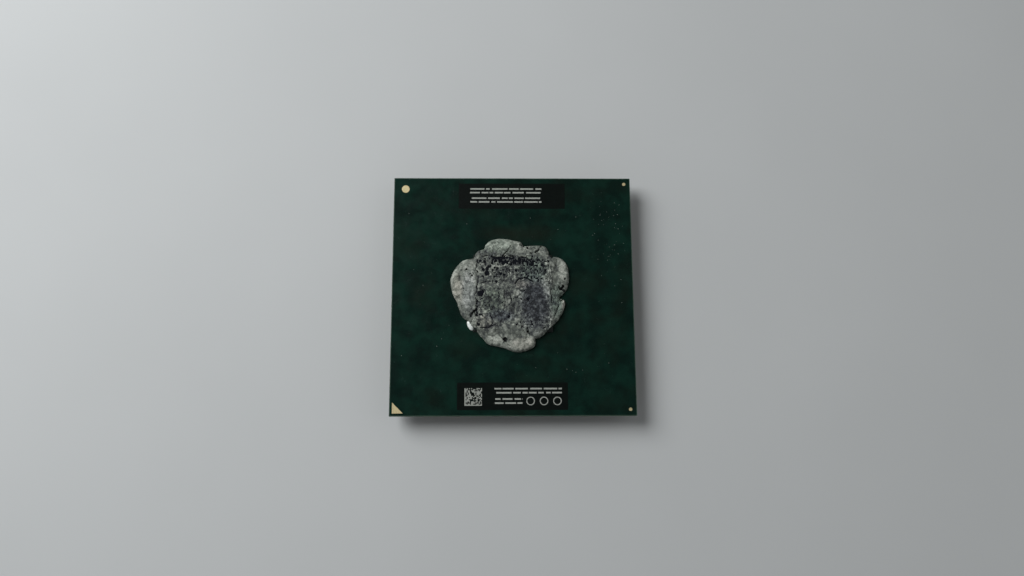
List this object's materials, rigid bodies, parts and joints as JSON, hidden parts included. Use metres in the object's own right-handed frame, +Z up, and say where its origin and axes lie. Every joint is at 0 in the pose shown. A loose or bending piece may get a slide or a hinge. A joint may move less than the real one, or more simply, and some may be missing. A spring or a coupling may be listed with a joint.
{
  "type": "cpu processor",
  "caption": "Square pin grid array processor: dark green laminated carrier, bare flip-chip die under dried thermal paste, and gold pins below.",
  "frame": {"origin": "centre of the square outline, in the plane of the pin tips", "axes": "+Z up through the die, towards the cooler; the keyed corner, which has no pins, is at low X and low Y; the two printed panels are at high and low Y"},
  "size_m": [0.035, 0.035, 0.0042],
  "materials": {
    "core_glass_epoxy": "sawn glass-epoxy laminate edge",
    "buildup_resin": "cured build-up resin",
    "copper": "plated copper",
    "land_gold_plate": "thin gold over nickel, satin",
    "pin_gold_plate": "gold-plated copper alloy wire",
    "green_solder_mask": "dark green liquid photo-imaged mask, semi-gloss",
    "capacitor_ceramic": "fired tan ceramic",
    "tin_plate": "matte tin over nickel",
    "solder": "reflowed tin alloy",
    "underfill_epoxy": "cured filled epoxy",
    "silicon": "polished bare silicon",
    "thermal_paste": "dried zinc-oxide paste, chalky",
    "panel_ink": "thin dark printed panel"
  },
  "bodies": {
    "root": {"bump_pads": "copper", "capacitor_bodies": "capacitor_ceramic", "capacitor_pads": "copper", "capacitor_solder": "solder", "capacitor_terminals": "tin_plate", "core_foil_bottom": "copper", "core_foil_top": "copper", "core_laminate": "core_glass_epoxy", "core_vias": "copper", "corner_dots": "land_gold_plate", "die_interconnect": "silicon", "die_silicon": "silicon", "fiducial_pad": "land_gold_plate", "inner_buildup_bottom": "buildup_resin", "inner_buildup_top": "buildup_resin", "marking_panel_bottom": "panel_ink", "marking_panel_top": "panel_ink", "outer_buildup_bottom": "buildup_resin", "outer_buildup_top": "buildup_resin", "paste_film": "thermal_paste", "paste_lobe_bottom": "thermal_paste", "paste_lobe_left": "thermal_paste", "paste_lobe_right": "thermal_paste", "paste_lobe_top": "thermal_paste", "pin_one_triangle": "land_gold_plate", "pin_pads": "land_gold_plate", "pin_row_a": "pin_gold_plate", "pin_row_aa": "pin_gold_plate", "pin_row_ab": "pin_gold_plate", "pin_row_ac": "pin_gold_plate", "pin_row_ad": "pin_gold_plate", "pin_row_ae": "pin_gold_plate", "pin_row_af": "pin_gold_plate", "pin_row_b": "pin_gold_plate", "pin_row_c": "pin_gold_plate", "pin_row_d": "pin_gold_plate", "pin_row_e": "pin_gold_plate", "pin_row_f": "pin_gold_plate", "pin_row_g": "pin_gold_plate", "pin_row_h": "pin_gold_plate", "pin_row_j": "pin_gold_plate", "pin_row_k": "pin_gold_plate", "pin_row_l": "pin_gold_plate", "pin_row_m": "pin_gold_plate", "pin_row_n": "pin_gold_plate", "pin_row_p": "pin_gold_plate", "pin_row_r": "pin_gold_plate", "pin_row_t": "pin_gold_plate", "pin_row_u": "pin_gold_plate", "pin_row_v": "pin_gold_plate", "pin_row_w": "pin_gold_plate", "pin_row_y": "pin_gold_plate", "pin_solder": "solder", "signal_foil_bottom": "copper", "signal_foil_top": "copper", "solder_bumps": "solder", "solder_mask_bottom": "green_solder_mask", "solder_mask_top": "green_solder_mask", "test_pads": "land_gold_plate", "underfill": "underfill_epoxy"}
  },
  "joints": []
}
